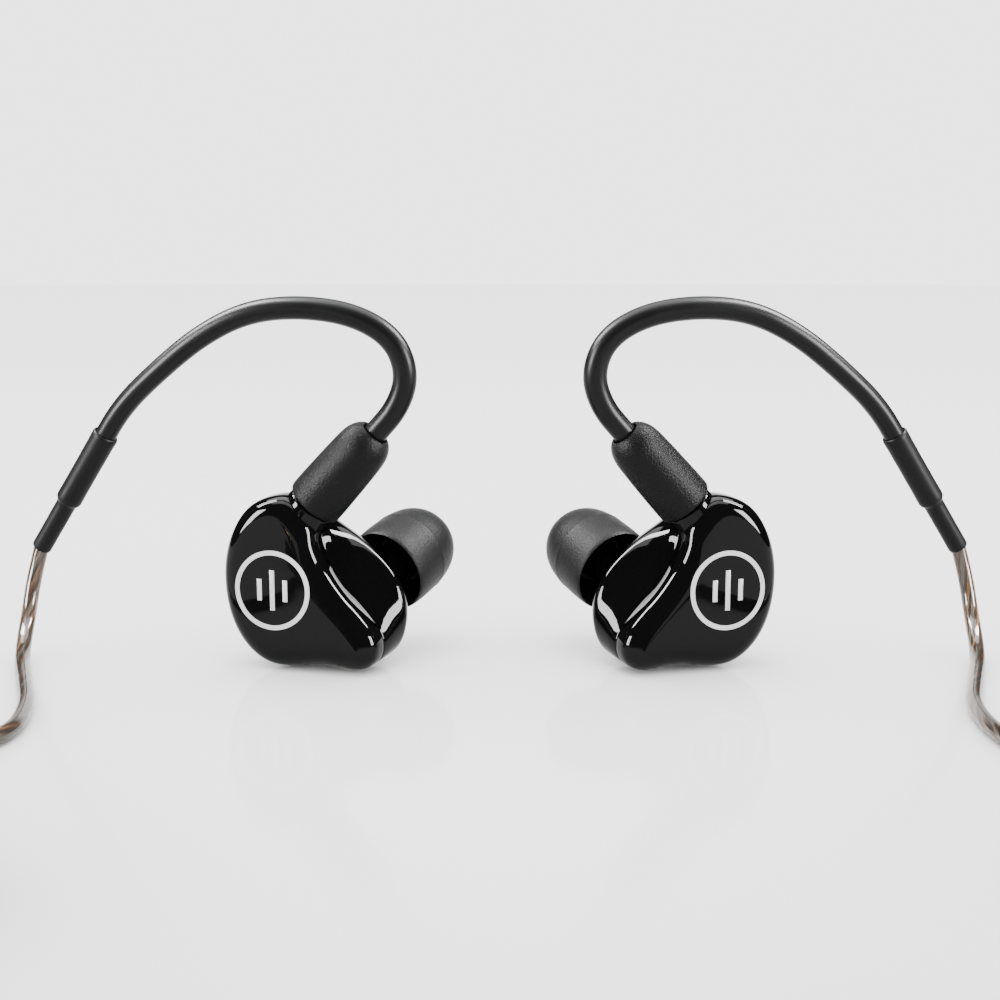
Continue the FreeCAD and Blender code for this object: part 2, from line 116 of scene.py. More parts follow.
def turnedShape(name, profile, matrix, sides, bevel, levels):
    # profile is (distance along the axis, radius) in mm, from ring to ring, and ends where it starts
    deselectAll()
    along, radius = profile[0]
    bpy.ops.mesh.primitive_circle_add(vertices=sides, radius=radius * mm, location=(0, 0, along * mm))
    obj = bpy.context.object
    obj.name = obj.data.name = name
    bpy.ops.object.transform_apply(location=True, rotation=False, scale=False)
    bpy.ops.object.mode_set(mode="EDIT")
    bpy.ops.mesh.select_mode(type="VERT")
    bpy.ops.mesh.select_all(action="SELECT")
    for nextAlong, nextRadius in profile[1:]:
        move = (0, 0, (nextAlong - along) * mm)
        bpy.ops.mesh.extrude_region_move(TRANSFORM_OT_translate={"value": move})
        grow = nextRadius / radius
        bpy.ops.transform.resize(value=(grow, grow, 1), center_override=(0, 0, nextAlong * mm))
        along, radius = nextAlong, nextRadius
    bpy.ops.object.mode_set(mode="OBJECT")
    facesOutward(obj)
    if bevel:
        roundEdges(obj, bevel, 35)
    if levels:
        applyModifier(obj, "SUBSURF", levels=levels, render_levels=levels)
    bakePlace(obj, matrix)
    smoothShade(obj)
    return obj


def frameNodes(tree, label, members):
    box = tree.nodes.new("NodeFrame")
    box.label = label
    for member in members:
        member.parent = box


# ---- camera and light ----
camera = {"distance": 220, "elevation": 9.0, "aim": (0, 1.4, 22.2), "lens": 55.44}

cameraData = bpy.data.cameras.new("camera")
cameraData.lens = camera["lens"]
cameraData.sensor_width = 36
cameraData.clip_start = 0.005
cameraObject = bpy.data.objects.new("camera", cameraData)
bpy.context.scene.collection.objects.link(cameraObject)
lift = radians(camera["elevation"])
back = Vector((0, -cos(lift), sin(lift)))
cameraObject.location = (Vector(camera["aim"]) + back * camera["distance"]) * mm
cameraObject.rotation_euler = (-back).to_track_quat("-Z", "Y").to_euler()
bpy.context.scene.camera = cameraObject


def softBox(name, place, aim, size, power, glossOnly=False):
    lamp = bpy.data.lights.new(name, "AREA")
    lamp.shape = "RECTANGLE"
    lamp.size, lamp.size_y = size[0] * mm, size[1] * mm
    lamp.energy = power
    holder = bpy.data.objects.new(name, lamp)
    bpy.context.scene.collection.objects.link(holder)
    holder.location = Vector(place) * mm
    holder.rotation_euler = (Vector(aim) - Vector(place)).to_track_quat("-Z", "Y").to_euler()
    holder.visible_diffuse = not glossOnly
    return holder


softBox("shadowBox", (-60, 60, 620), (0, 0, 0), (420, 380), 2.2)
strips = [softBox("overheadBox", (0, 80, 620), (0, 0, 0), (900, 700), 20, True)]
for side in (-1, 1):
    strips.append(softBox("edgeStrip", (side * 315, -145, 104), (side * 30, 0, 20), (95, 150), 6.0, True))
    strips.append(softBox("ridgeStrip", (side * 175, 25, 221), (side * 20, 0, 10), (70, 150), 5.6, True))

world = bpy.data.worlds.new("studioWorld")
bpy.context.scene.world = world
world.use_nodes = True
worldTree = world.node_tree
worldTree.nodes.clear()
worldOut = worldTree.nodes.new("ShaderNodeOutputWorld")
worldOut.label = "world"
worldOut.location = (400, 0)
backdropLight = worldTree.nodes.new("ShaderNodeBackground")
backdropLight.label = "white paper roll behind the table"
backdropLight.location = (0, 120)
backdropLight.inputs["Color"].default_value = (1, 1, 1, 1)
backdropLight.inputs["Strength"].default_value = 3.2
roomLight = worldTree.nodes.new("ShaderNodeBackground")
roomLight.label = "dim room around the studio"
roomLight.location = (0, -80)
roomLight.inputs["Color"].default_value = (1, 1, 1, 1)
roomLight.inputs["Strength"].default_value = 0.08
whichRay = worldTree.nodes.new("ShaderNodeLightPath")
whichRay.label = "what the ray is for"
whichRay.location = (-420, 420)
skyWay = worldTree.nodes.new("ShaderNodeTexCoord")
skyWay.label = "direction"
skyWay.location = (-820, 120)
skyParts = worldTree.nodes.new("ShaderNodeSeparateXYZ")
skyParts.label = "its parts"
skyParts.location = (-620, 120)
behind = worldTree.nodes.new("ShaderNodeMapRange")
behind.label = "the paper stands behind the object"
behind.location = (-420, 120)
behind.inputs["From Min"].default_value = 0.88
behind.inputs["From Max"].default_value = 0.94
seenOrFill = worldTree.nodes.new("ShaderNodeMath")
seenOrFill.label = "the background and the even fill"
seenOrFill.operation = "MAXIMUM"
seenOrFill.location = (-200, 420)
whitePart = worldTree.nodes.new("ShaderNodeMath")
whitePart.label = "white where any of them holds"
whitePart.operation = "MAXIMUM"
whitePart.location = (0, 260)
roomMix = worldTree.nodes.new("ShaderNodeMixShader")
roomMix.label = "white paper or dim room"
roomMix.location = (200, 0)
worldTree.links.new(skyWay.outputs["Generated"], skyParts.inputs[0])
worldTree.links.new(skyParts.outputs["Y"], behind.inputs["Value"])
worldTree.links.new(whichRay.outputs["Is Camera Ray"], seenOrFill.inputs[0])
worldTree.links.new(whichRay.outputs["Is Diffuse Ray"], seenOrFill.inputs[1])
worldTree.links.new(seenOrFill.outputs[0], whitePart.inputs[0])
worldTree.links.new(behind.outputs["Result"], whitePart.inputs[1])
worldTree.links.new(whitePart.outputs[0], roomMix.inputs[0])
worldTree.links.new(roomLight.outputs[0], roomMix.inputs[1])
worldTree.links.new(backdropLight.outputs[0], roomMix.inputs[2])
worldTree.links.new(roomMix.outputs[0], worldOut.inputs["Surface"])
frameNodes(worldTree, "where the paper shows", [skyWay, skyParts, behind, whichRay, seenOrFill, whitePart])
frameNodes(worldTree, "paper and room", [backdropLight, roomLight, roomMix])
print("camera, lights and world set")


# ---- materials ----
def newMaterial(name):
    material = bpy.data.materials.new(name)
    material.use_nodes = True
    tree = material.node_tree
    tree.nodes.clear()
    return material, tree


def mouldedPlastic(name, colour, roughness, specular, grainSize, grainDepth, patchy, sheen=0.0, coat=0.0):
    material, tree = newMaterial(name)
    out = tree.nodes.new("ShaderNodeOutputMaterial")
    out.label = "surface"
    out.location = (700, 0)
    shader = tree.nodes.new("ShaderNodeBsdfPrincipled")
    shader.label = "moulded plastic"
    shader.location = (400, 0)
    shader.inputs["Specular IOR Level"].default_value = specular
    shader.inputs["Sheen Weight"].default_value = sheen
    shader.inputs["Sheen Roughness"].default_value = 0.5
    shader.inputs["Coat Weight"].default_value = coat
    shader.inputs["Coat Roughness"].default_value = 0.05
    place = tree.nodes.new("ShaderNodeTexCoord")
    place.label = "place on the piece"
    place.location = (-1000, 0)
    grain = tree.nodes.new("ShaderNodeTexNoise")
    grain.label = "fine mould texture"
    grain.location = (-700, -320)
    grain.inputs["Scale"].default_value = 1 / (grainSize * mm)
    grain.inputs["Detail"].default_value = 3
    bump = tree.nodes.new("ShaderNodeBump")
    bump.label = "grain relief"
    bump.location = (-100, -320)
    bump.inputs["Strength"].default_value = 1.0
    bump.inputs["Distance"].default_value = grainDepth * mm
    patches = tree.nodes.new("ShaderNodeTexNoise")
    patches.label = "handling and flow marks"
    patches.location = (-700, 60)
    patches.inputs["Scale"].default_value = 170
    patches.inputs["Detail"].default_value = 5
    rough = tree.nodes.new("ShaderNodeMapRange")
    rough.label = "roughness from the marks"
    rough.location = (-100, -60)
    rough.inputs["From Min"].default_value = 0.3
    rough.inputs["From Max"].default_value = 0.7
    rough.inputs["To Min"].default_value = max(0.02, roughness - patchy)
    rough.inputs["To Max"].default_value = roughness + patchy
    tint = tree.nodes.new("ShaderNodeMix")
    tint.label = "colour with slight variation"
    tint.data_type = "RGBA"
    tint.location = (100, 220)
    tint.inputs["A"].default_value = (colour[0] * 0.8, colour[1] * 0.8, colour[2] * 0.8, 1)
    tint.inputs["B"].default_value = (colour[0] * 1.25, colour[1] * 1.25, colour[2] * 1.25, 1)
    tree.links.new(place.outputs["Object"], grain.inputs["Vector"])
    tree.links.new(place.outputs["Object"], patches.inputs["Vector"])
    tree.links.new(grain.outputs["Fac"], bump.inputs["Height"])
    tree.links.new(bump.outputs["Normal"], shader.inputs["Normal"])
    tree.links.new(patches.outputs["Fac"], rough.inputs["Value"])
    tree.links.new(rough.outputs["Result"], shader.inputs["Roughness"])
    tree.links.new(patches.outputs["Fac"], tint.inputs["Factor"])
    tree.links.new(tint.outputs["Result"], shader.inputs["Base Color"])
    tree.links.new(shader.outputs["BSDF"], out.inputs["Surface"])
    frameNodes(tree, "relief", [grain, bump])
    frameNodes(tree, "wear and colour", [patches, rough, tint])
    return material


def plainMetal(name, colour, roughness, scratch):
    material, tree = newMaterial(name)
    out = tree.nodes.new("ShaderNodeOutputMaterial")
    out.label = "surface"
    out.location = (700, 0)
    shader = tree.nodes.new("ShaderNodeBsdfPrincipled")
    shader.label = "metal"
    shader.location = (400, 0)
    shader.inputs["Metallic"].default_value = 1.0
    place = tree.nodes.new("ShaderNodeTexCoord")
    place.label = "place on the piece"
    place.location = (-900, 0)
    tarnish = tree.nodes.new("ShaderNodeTexNoise")
    tarnish.label = "slight tarnish"
    tarnish.location = (-600, 120)
    tarnish.inputs["Scale"].default_value = 900
    tarnish.inputs["Detail"].default_value = 4
    rough = tree.nodes.new("ShaderNodeMapRange")
    rough.label = "duller where tarnished"
    rough.location = (-200, 0)
    rough.inputs["To Min"].default_value = roughness * 0.7
    rough.inputs["To Max"].default_value = roughness * 1.5
    shade = tree.nodes.new("ShaderNodeMix")
    shade.label = "metal colour"
    shade.data_type = "RGBA"
    shade.location = (100, 220)
    shade.inputs["A"].default_value = (*colour, 1)
    shade.inputs["B"].default_value = (colour[0] * 0.7, colour[1] * 0.68, colour[2] * 0.64, 1)
    scratches = tree.nodes.new("ShaderNodeTexNoise")
    scratches.label = "turning marks"
    scratches.location = (-600, -260)
    scratches.inputs["Scale"].default_value = 4200
    bump = tree.nodes.new("ShaderNodeBump")
    bump.label = "mark relief"
    bump.location = (100, -260)
    bump.inputs["Distance"].default_value = scratch * mm
    tree.links.new(place.outputs["Object"], tarnish.inputs["Vector"])
    tree.links.new(place.outputs["Object"], scratches.inputs["Vector"])
    tree.links.new(tarnish.outputs["Fac"], rough.inputs["Value"])
    tree.links.new(rough.outputs["Result"], shader.inputs["Roughness"])
    tree.links.new(tarnish.outputs["Fac"], shade.inputs["Factor"])
    tree.links.new(shade.outputs["Result"], shader.inputs["Base Color"])
    tree.links.new(scratches.outputs["Fac"], bump.inputs["Height"])
    tree.links.new(bump.outputs["Normal"], shader.inputs["Normal"])
    tree.links.new(shader.outputs["BSDF"], out.inputs["Surface"])
    frameNodes(tree, "tarnish", [tarnish, rough, shade])
    frameNodes(tree, "marks", [scratches, bump])
    return material


def clearJacket(name):
    material, tree = newMaterial(name)
    out = tree.nodes.new("ShaderNodeOutputMaterial")
    out.label = "surface"
    out.location = (700, 0)
    shader = tree.nodes.new("ShaderNodeBsdfPrincipled")
    shader.label = "smoky clear jacket"
    shader.location = (400, 0)
    shader.inputs["Base Color"].default_value = (0.28, 0.24, 0.2, 1)
    shader.inputs["Transmission Weight"].default_value = 0.92
    shader.inputs["IOR"].default_value = 1.42
    place = tree.nodes.new("ShaderNodeTexCoord")
    place.label = "place on the jacket"
    place.location = (-800, 0)
    haze = tree.nodes.new("ShaderNodeTexNoise")
    haze.label = "haze in the jacket"
    haze.location = (-500, 0)
    haze.inputs["Scale"].default_value = 900
    haze.inputs["Detail"].default_value = 3
    rough = tree.nodes.new("ShaderNodeMapRange")
    rough.label = "roughness of the haze"
    rough.location = (-100, 0)
    rough.inputs["To Min"].default_value = 0.06
    rough.inputs["To Max"].default_value = 0.2
    tree.links.new(place.outputs["Object"], haze.inputs["Vector"])
    tree.links.new(haze.outputs["Fac"], rough.inputs["Value"])
    tree.links.new(rough.outputs["Result"], shader.inputs["Roughness"])
    tree.links.new(shader.outputs["BSDF"], out.inputs["Surface"])
    frameNodes(tree, "haze", [haze, rough])
    return material


def wovenStrap(name):
    material, tree = newMaterial(name)
    out = tree.nodes.new("ShaderNodeOutputMaterial")
    out.label = "surface"
    out.location = (700, 0)
    shader = tree.nodes.new("ShaderNodeBsdfPrincipled")
    shader.label = "nylon strap"
    shader.location = (400, 0)
    shader.inputs["Roughness"].default_value = 0.85
    shader.inputs["Specular IOR Level"].default_value = 0.12
    shader.inputs["Sheen Weight"].default_value = 0.08
    place = tree.nodes.new("ShaderNodeTexCoord")
    place.label = "place on the strap"
    place.location = (-900, 0)
    loops = tree.nodes.new("ShaderNodeTexVoronoi")
    loops.label = "hooks and loops"
    loops.location = (-600, -120)
    loops.inputs["Scale"].default_value = 2600
    bump = tree.nodes.new("ShaderNodeBump")
    bump.label = "loop relief"
    bump.location = (0, -200)
    bump.inputs["Distance"].default_value = 0.12 * mm
    # painted shade: the strap's colour darkens between the loops, standing in for the shade that falls there;
    # the loop relief below is real
    shade = tree.nodes.new("ShaderNodeMix")
    shade.label = "dark between the loops"
    shade.data_type = "RGBA"
    shade.location = (0, 200)
    shade.inputs["A"].default_value = (0.022, 0.022, 0.023, 1)
    shade.inputs["B"].default_value = (0.008, 0.008, 0.009, 1)
    tree.links.new(place.outputs["Object"], loops.inputs["Vector"])
    tree.links.new(loops.outputs["Distance"], bump.inputs["Height"])
    tree.links.new(loops.outputs["Distance"], shade.inputs["Factor"])
    tree.links.new(shade.outputs["Result"], shader.inputs["Base Color"])
    tree.links.new(bump.outputs["Normal"], shader.inputs["Normal"])
    tree.links.new(shader.outputs["BSDF"], out.inputs["Surface"])
    frameNodes(tree, "weave", [loops, bump, shade])
    return material


glossBlack = mouldedPlastic("glossBlackShell", (0.002, 0.002, 0.0022), 0.04, 0.10, 3.0, 0.0012, 0.015)
bootBlack = mouldedPlastic("bootGrain", (0.003, 0.003, 0.0031), 0.42, 0.065, 0.27, 0.1, 0.015)
hookBlack = mouldedPlastic("hookSatin", (0.003, 0.003, 0.0031), 0.34, 0.09, 0.12, 0.001, 0.03)
sleeveBlack = mouldedPlastic("shrinkSleeve", (0.004, 0.004, 0.004), 0.45, 0.065, 0.4, 0.006, 0.05)
tipBlack = mouldedPlastic("tipSilicone", (0.0065, 0.0065, 0.0068), 0.44, 0.055, 0.27, 0.08, 0.015, sheen=0.02)
splitBlack = mouldedPlastic("splitSatin", (0.005, 0.005, 0.0052), 0.32, 0.1, 0.15, 0.008, 0.05)
inkSilver = mouldedPlastic("printedSilver", (0.5, 0.5, 0.51), 0.35, 0.5, 0.08, 0.004, 0.05)
insulatorWhite = mouldedPlastic("insulatorWhite", (0.75, 0.74, 0.7), 0.45, 0.4, 0.2, 0.003, 0.05)
driverGrey = mouldedPlastic("driverFrameGrey", (0.05, 0.05, 0.055), 0.5, 0.4, 0.2, 0.004, 0.08)
filmClear = mouldedPlastic("diaphragmFilm", (0.6, 0.55, 0.4), 0.25, 0.5, 0.5, 0.004, 0.05)
foamGrey = mouldedPlastic("damperFoam", (0.45, 0.45, 0.43), 0.95, 0.2, 0.25, 0.12, 0.04)
goldPlate = plainMetal("goldPlate", (0.95, 0.68, 0.3), 0.2, 0.001)
springSteel = plainMetal("springSteel", (0.6, 0.6, 0.6), 0.3, 0.002)
magnetGrey = plainMetal("magnetGrey", (0.3, 0.3, 0.31), 0.45, 0.003)
copperWire = plainMetal("copperWire", (0.22, 0.135, 0.085), 0.34, 0.001)
silverWire = plainMetal("silverWire", (0.2, 0.18, 0.16), 0.34, 0.001)
jacketClear = clearJacket("jacketClear")
strapFabric = wovenStrap("strapFabric")
print("materials made")


def finish(obj, material, body, slotName, *cadNodes):
    obj.data.materials.clear()
    obj.data.materials.append(material)
    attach(obj, body)
    if cadNodes:
        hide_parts(*cadNodes)
    return obj


def finishPair(obj, name, material, rightBody, slotName, *cadNames):
    # the right piece is there already, and its mirror image becomes the left one
    left = leftCopy(obj, "left_" + name)
    leftBody = rightBody.replace("right", "left")
    finish(obj, material, rightBody, slotName, *["right_" + n for n in cadNames])
    finish(left, material, leftBody, slotName, *["left_" + n for n in cadNames])
    return left


# ---- cords: two branches and a trunk, clear jackets over twisted strands ----
cable = {
    "branch": 2.1, "trunk": 2.2, "strandRadius": 0.36, "twistRadius": 0.5, "twistPitch": 16.0,
    "stepsPerTwist": 15, "clearance": 0.02, "coilCentre": (-62.0, -91.5), "coilTurnPoints": 16,
    "coilRadius": 13.7, "branchRise": 2.2, "plainTurns": 10, "lastPoints": 6,
}
floorZ = cable["branch"] / 2 + cable["clearance"]
trunkZ = cable["trunk"] / 2 + cable["clearance"]


def onFloor(places, z=floorZ):
    return [(x, y, z) for x, y in places]


def coilPoint(radius, angle, z):  # a flat spline runs a little inside its points, so they stand out
    cx, cy = cable["coilCentre"]
    spread = radius * 1.013
    return (cx + spread * cos(angle), cy + spread * sin(angle), z)


drop = [(-65.9, 1.65, 15.25), (-67.2, 1.5, 10.6), (-67.6, -0.1, 6.0), (-67.4, -3.8, 2.5)]
forward = [(-66.0, -9.4), (-62.8, -18.6), (-58.9, -30.4)]
rightOut = onFloor([
    (-57.6, -42.0), (-63.6, -49.2), (-66.2, -56.0), (-61.6, -61.6), (-55.8, -68.0), (-51.2, -76.0),
    (-48.9, -82.4)])
firstTurn = []
steps = cable["coilTurnPoints"]
for step in range(21):  # one turn on the floor, and then a quarter turn on top of it
    rise = min(1.0, max(0.0, (step - 11) / 4))
    firstTurn.append(coilPoint(
        cable["coilRadius"], radians(12.8) - 2 * pi * step / steps, floorZ + rise * cable["branchRise"]))
rightIn = [
    (-62.8, -105.8, 3.2), (-71.2, -107.4, floorZ), (-77.2, -105.2, floorZ), (-79.3, -99.6, 2.2),
    (-79.3, -94.4, 2.2), (-79.3, -85.0, 2.2)]  # straight as far as the slider runs
rightRoute = drop + onFloor(forward) + rightOut + firstTurn + rightIn

leftRoute = [(-x, y, z) for x, y, z in drop + onFloor(forward)]
leftRoute += onFloor([
    (58.6, -43.0), (62.0, -54.0), (60.6, -67.5), (55.4, -80.0), (52.6, -94.5), (46.4, -107.0),
    (30.0, -112.8), (11.0, -114.0), (-6.0, -112.6), (-23.0, -114.2), (-40.0, -112.8), (-55.0, -114.0),
    (-68.4, -113.6), (-78.0, -109.6)])
leftRoute += [(-81.9, -101.0, 2.2), (-81.9, -93.2, 2.2), (-81.9, -85.0, 2.2)]

# the trunk's turns, one place in the section of the coil after another, as (radius, height)
turns = [
    (13.7, 6.1), (11.5, 3.9), (11.5, 1.7), (9.3, 1.7), (9.3, 3.9), (9.3, 6.1), (11.5, 6.1), (9.3, 8.3),
    (11.5, 8.3), (13.7, 8.3), (12.6, 10.1)]
trunkRoute = [
    (-80.6, -76.0, 2.2), (-80.6, -71.0, 2.2), (-77.6, -65.8, trunkZ), (-72.2, -64.6, trunkZ),
    (-67.4, -68.4, 1.9), (-62.0, -75.0, 3.8)]
for step in range(steps * cable["plainTurns"] + cable["lastPoints"]):
    turn, part = divmod(step, steps)
    here = turns[turn]
    after = turns[min(turn + 1, len(turns) - 1)]
    # the last quarter of each turn steps over to the next place
    share = max(0.0, (part - steps + 4) / 4)
    trunkRoute.append(coilPoint(
        here[0] + (after[0] - here[0]) * share, radians(59.7) - 2 * pi * step / steps,
        here[1] + (after[1] - here[1]) * share))
trunkRoute += [
    (-62.8, -104.2, 10.2), (-66.6, -104.2, 10.8), (-70.4, -102.9, 11.8), (-73.2, -100.4, 12.6),
    (-73.4, -96.5, 12.6)]


def cordCurve(name, route, diameter):
    data = bpy.data.curves.new(name, "CURVE")
    data.dimensions = "3D"
    spline = data.splines.new("NURBS")
    spline.points.add(len(route) - 1)
    for point, place in zip(spline.points, route):
        point.co = (place[0] * mm, place[1] * mm, place[2] * mm, 1)
    spline.order_u = 3
    spline.use_endpoint_u = True
    spline.resolution_u = 6
    data.resolution_u = 6
    data.bevel_depth = diameter * mm / 2
    data.bevel_resolution = 4
    data.use_fill_caps = True
    obj = bpy.data.objects.new(name, data)
    bpy.context.scene.collection.objects.link(obj)
    return obj


def smoothLine(curveObject):  # points read from the route's own spline
    data = curveObject.data.copy()
    data.bevel_depth = 0
    data.use_fill_caps = False
    holder = bpy.data.objects.new("line", data)
    bpy.context.scene.collection.objects.link(holder)
    bpy.context.view_layer.update()
    mesh = bpy.data.meshes.new_from_object(holder.evaluated_get(bpy.context.evaluated_depsgraph_get()))
    line = [v.co.copy() for v in mesh.vertices]
    bpy.data.meshes.remove(mesh)
    bpy.data.objects.remove(holder)
    bpy.data.curves.remove(data)
    return line


def evenLine(line, gap):
    result = [line[0]]
    left = gap
    for a, b in zip(line, line[1:]):
        run = (b - a).length
        done = 0.0
        while run - done >= left:
            done += left
            result.append(a.lerp(b, done / run))
            left = gap
        left -= run - done
    return result


def twistedStrands(name, line, phases, material, body):
    radius = cable["twistRadius"] * mm
    gap = cable["twistPitch"] * mm / cable["stepsPerTwist"]
    places = evenLine(line, gap)
    side = None
    data = bpy.data.curves.new(name, "CURVE")
    data.dimensions = "3D"
    data.bevel_depth = cable["strandRadius"] * mm
    data.bevel_resolution = 1
    data.resolution_u = 1
    data.use_fill_caps = True
    rows = [[] for _ in phases]
    for index, place in enumerate(places):
        ahead = places[min(index + 1, len(places) - 1)] - places[max(index - 1, 0)]
        ahead.normalize()
        if side is None:
            side = ahead.orthogonal().normalized()
        side = (side - ahead * side.dot(ahead)).normalized()  # carried along without turning
        up = ahead.cross(side)
        angle = 2 * pi * index / cable["stepsPerTwist"]
        for row, phase in zip(rows, phases):
            row.append(place + (side * cos(angle + phase) + up * sin(angle + phase)) * radius)
    for row in rows:
        spline = data.splines.new("POLY")
        spline.points.add(len(row) - 1)
        for point, place in zip(spline.points, row):
            point.co = (*place, 1)
    obj = bpy.data.objects.new(name, data)
    bpy.context.scene.collection.objects.link(obj)
    pick(obj)
    bpy.ops.object.convert(target="MESH")
    obj = bpy.context.object
    smoothShade(obj, 80)
    return finish(obj, material, body, "cable_clear")


def lengthOf(line):
    return sum((b - a).length for a, b in zip(line, line[1:]))


cords = {}
for name, route, diameter in (
        ("right_branch_cord", rightRoute, cable["branch"]),
        ("left_branch_cord", leftRoute, cable["branch"]),
        ("trunk_cord", trunkRoute, cable["trunk"])):
    cord = cordCurve(name, route, diameter)
    line = smoothLine(cord)
    copper = twistedStrands(name + "_copper", line, (0, pi), copperWire, "cable_set")
    silver = twistedStrands(name + "_silver", line, (pi / 2, 3 * pi / 2), silverWire, "cable_set")
    cords[name] = (cord, line, copper, silver)
    print(name, "length", round(lengthOf(line), 4))

finish(cords["right_branch_cord"][0], jacketClear, "cable_set", "cable_clear", "right_cable")
finish(cords["left_branch_cord"][0], jacketClear, "cable_set", "cable_clear", "left_cable")
finish(cords["trunk_cord"][0], jacketClear, "cable_set", "cable_clear", "trunk_cable", "trunk_coil")
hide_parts("trunk_coil")

# ---- shells: a faceplate and an inner shell that flows into the nozzle ----
shell = {
    "seam": [
        (2.1, 12.7), (-1.6, 12.6), (-5.0, 10.5), (-7.4, 6.1), (-8.1, 1.2), (-7.4, -3.9), (-5.3, -8.0),
        (-2.2, -10.5), (1.3, -11.1), (6.8, -10.4), (11.6, -11.0), (14.2, -9.6), (14.5, -6.6),
        (12.4, -3.4), (9.4, -0.2), (7.0, 3.1), (5.7, 6.1), (5.1, 9.0)],
    "earSide": [
        (1.9, 11.3), (-1.5, 11.1), (-4.3, 9.2), (-6.3, 5.3), (-6.9, 1.0), (-6.2, -3.7), (-4.3, -7.6),
        (-1.8, -10.1), (1.5, -10.9), (7.3, -10.4), (12.4, -10.7), (15.2, -8.6), (16.2, -5.1),
        (15.9, -1.6), (14.2, 1.7), (11.7, 4.4), (9.0, 6.5), (5.5, 8.8)],
    "seamDepth": 4.5, "earSideDepth": 9.0, "backCentre": (8.8, -0.6), "wall": 0.8,
    # (depth, how far the outline stands in) from the seam to the flat face
    "face": [
        (4.46, 0.16), (4.4, 0.05), (4.25, 0.0), (3.4, 0.0), (2.6, 0.03), (1.9, 0.12), (1.3, 0.3), (0.78, 0.6),
        (0.38, 1.0), (0.12, 1.5), (0.02, 2.0), (0.0, 2.5)],
    "nozzle": [
        (5.9, 3.05), (6.9, 2.72), (8.5, 2.7), (13.4, 2.7), (13.7, 2.75), (13.9, 3.0), (14.6, 3.0),
        (14.9, 2.75), (15.2, 2.7), (16.2, 2.7), (16.4, 2.55)],
    "nozzleStart": (8.8, 8.3, -2.0), "nozzleAxis": (0.264, 0.911, 0.318),
    "connectorBase": (4.4, 4.8, 11.6), "connectorAngle": 47.5, "socketHole": 2.34, "holeLength": 9,
    "holeShift": -0.4, "flatCentre": (1.2, 0, -1.0),
}
nozzleAxis = Vector(shell["nozzleAxis"]).normalized()
connectorAxis = Vector((cos(radians(shell["connectorAngle"])), 0, sin(radians(shell["connectorAngle"]))))
nozzleFrame = alongAxis(Vector(shell["nozzleStart"]) * mm, nozzleAxis)
connectorFrame = alongAxis(Vector(shell["connectorBase"]) * mm, connectorAxis)


def smoothOutline(points, perRun=3):  # a closed curve through the points
    result = []
    count = len(points)
    for index in range(count):
        a, b, c, d = (Vector(points[(index + k) % count]) for k in (-1, 0, 1, 2))
        for step in range(perRun):
            t = step / perRun
            place = 0.5 * (2 * b + (c - a) * t + (2 * a - 5 * b + 4 * c - d) * t * t
                           + (3 * b - a - 3 * c + d) * t ** 3)
            result.append(tuple(place))
    return result


def cornerRoom(points):  # how far each point may move in before it meets its neighbours' ways
    count = len(points)
    radii = []
    for index in range(count):
        a, b, c = (Vector(points[(index + k) % count]) for k in (-2, 0, 2))
        turn = (b - a).cross(c - b)
        radii.append((b - a).length * (c - b).length * (c - a).length / (2 * turn) if turn > 1e-4 else 50)
    tight = [min(radii[(index + k) % count] for k in (-2, -1, 0, 1, 2)) for index in range(count)]
    return [0.7 * sum(tight[(index + k) % count] for k in (-1, 0, 1)) / 3 for index in range(count)]


def standIn(points, amount):  # the outline moved inwards, further on the side that slopes to the ear
    result = []
    count = len(points)
    room = cornerRoom(points)
    for index, (x, z) in enumerate(points):
        before, after = points[index - 1], points[(index + 1) % count]
        along = Vector((after[0] - before[0], after[1] - before[1])).normalized()
        wide = 1 + 0.5 * min(1, max(0, (x - 1) / 5)) if amount > 0.2 else 1
        inwards = min(amount * wide, room[index])
        result.append((x - along.y * inwards, z + along.x * inwards))
    for _ in range(int(amount * 4)):  # tight corners are relaxed, so that no point crosses its neighbour
        result = [
            (0.5 * x + 0.25 * (result[i - 1][0] + result[(i + 1) % count][0]),
             0.5 * z + 0.25 * (result[i - 1][1] + result[(i + 1) % count][1]))
            for i, (x, z) in enumerate(result)]
    return result


def loft(name, rings):  # a circle that is extruded ring by ring, and each ring is set to its outline
    deselectAll()
    bpy.ops.mesh.primitive_circle_add(vertices=len(rings[0]), radius=0.01, location=(0, 0, 0))
    obj = bpy.context.object
    obj.name = obj.data.name = name
    for vertex, place in zip(obj.data.vertices, rings[0]):
        vertex.co = Vector(place) * mm
    for ring in rings[1:]:
        bpy.ops.object.mode_set(mode="EDIT")
        bpy.ops.mesh.extrude_region_move()
        bpy.ops.object.mode_set(mode="OBJECT")
        newest = obj.data.vertices[-len(ring):]
        for vertex, place in zip(newest, ring):
            vertex.co = Vector(place) * mm
    return obj


def capFlat(obj, centre):  # the last ring is carried on towards a point of the flat face, and closed
    pick(obj)
    bpy.ops.object.mode_set(mode="EDIT")
    for shrink in (0.82, 0.72, 0.6, 0.4, 0.3):
        bpy.ops.mesh.extrude_region_move()
        bpy.ops.transform.resize(value=(shrink, 1, shrink), center_override=Vector(centre) * mm)
    bpy.ops.mesh.merge(type="CENTER")
    bpy.ops.object.mode_set(mode="OBJECT")


def ringAt(outline, depth):
    return [(x, depth, z) for x, z in outline]


def mixRings(a, b, share):
    return [tuple(Vector(p).lerp(Vector(q), share)) for p, q in zip(a, b)]


seam = smoothOutline(shell["seam"])
earSide = smoothOutline(shell["earSide"])


def scaledEarSide(factor):
    cx, cz = shell["backCentre"]
    return [(cx + (x - cx) * factor, cz + (z - cz) * factor) for x, z in earSide]


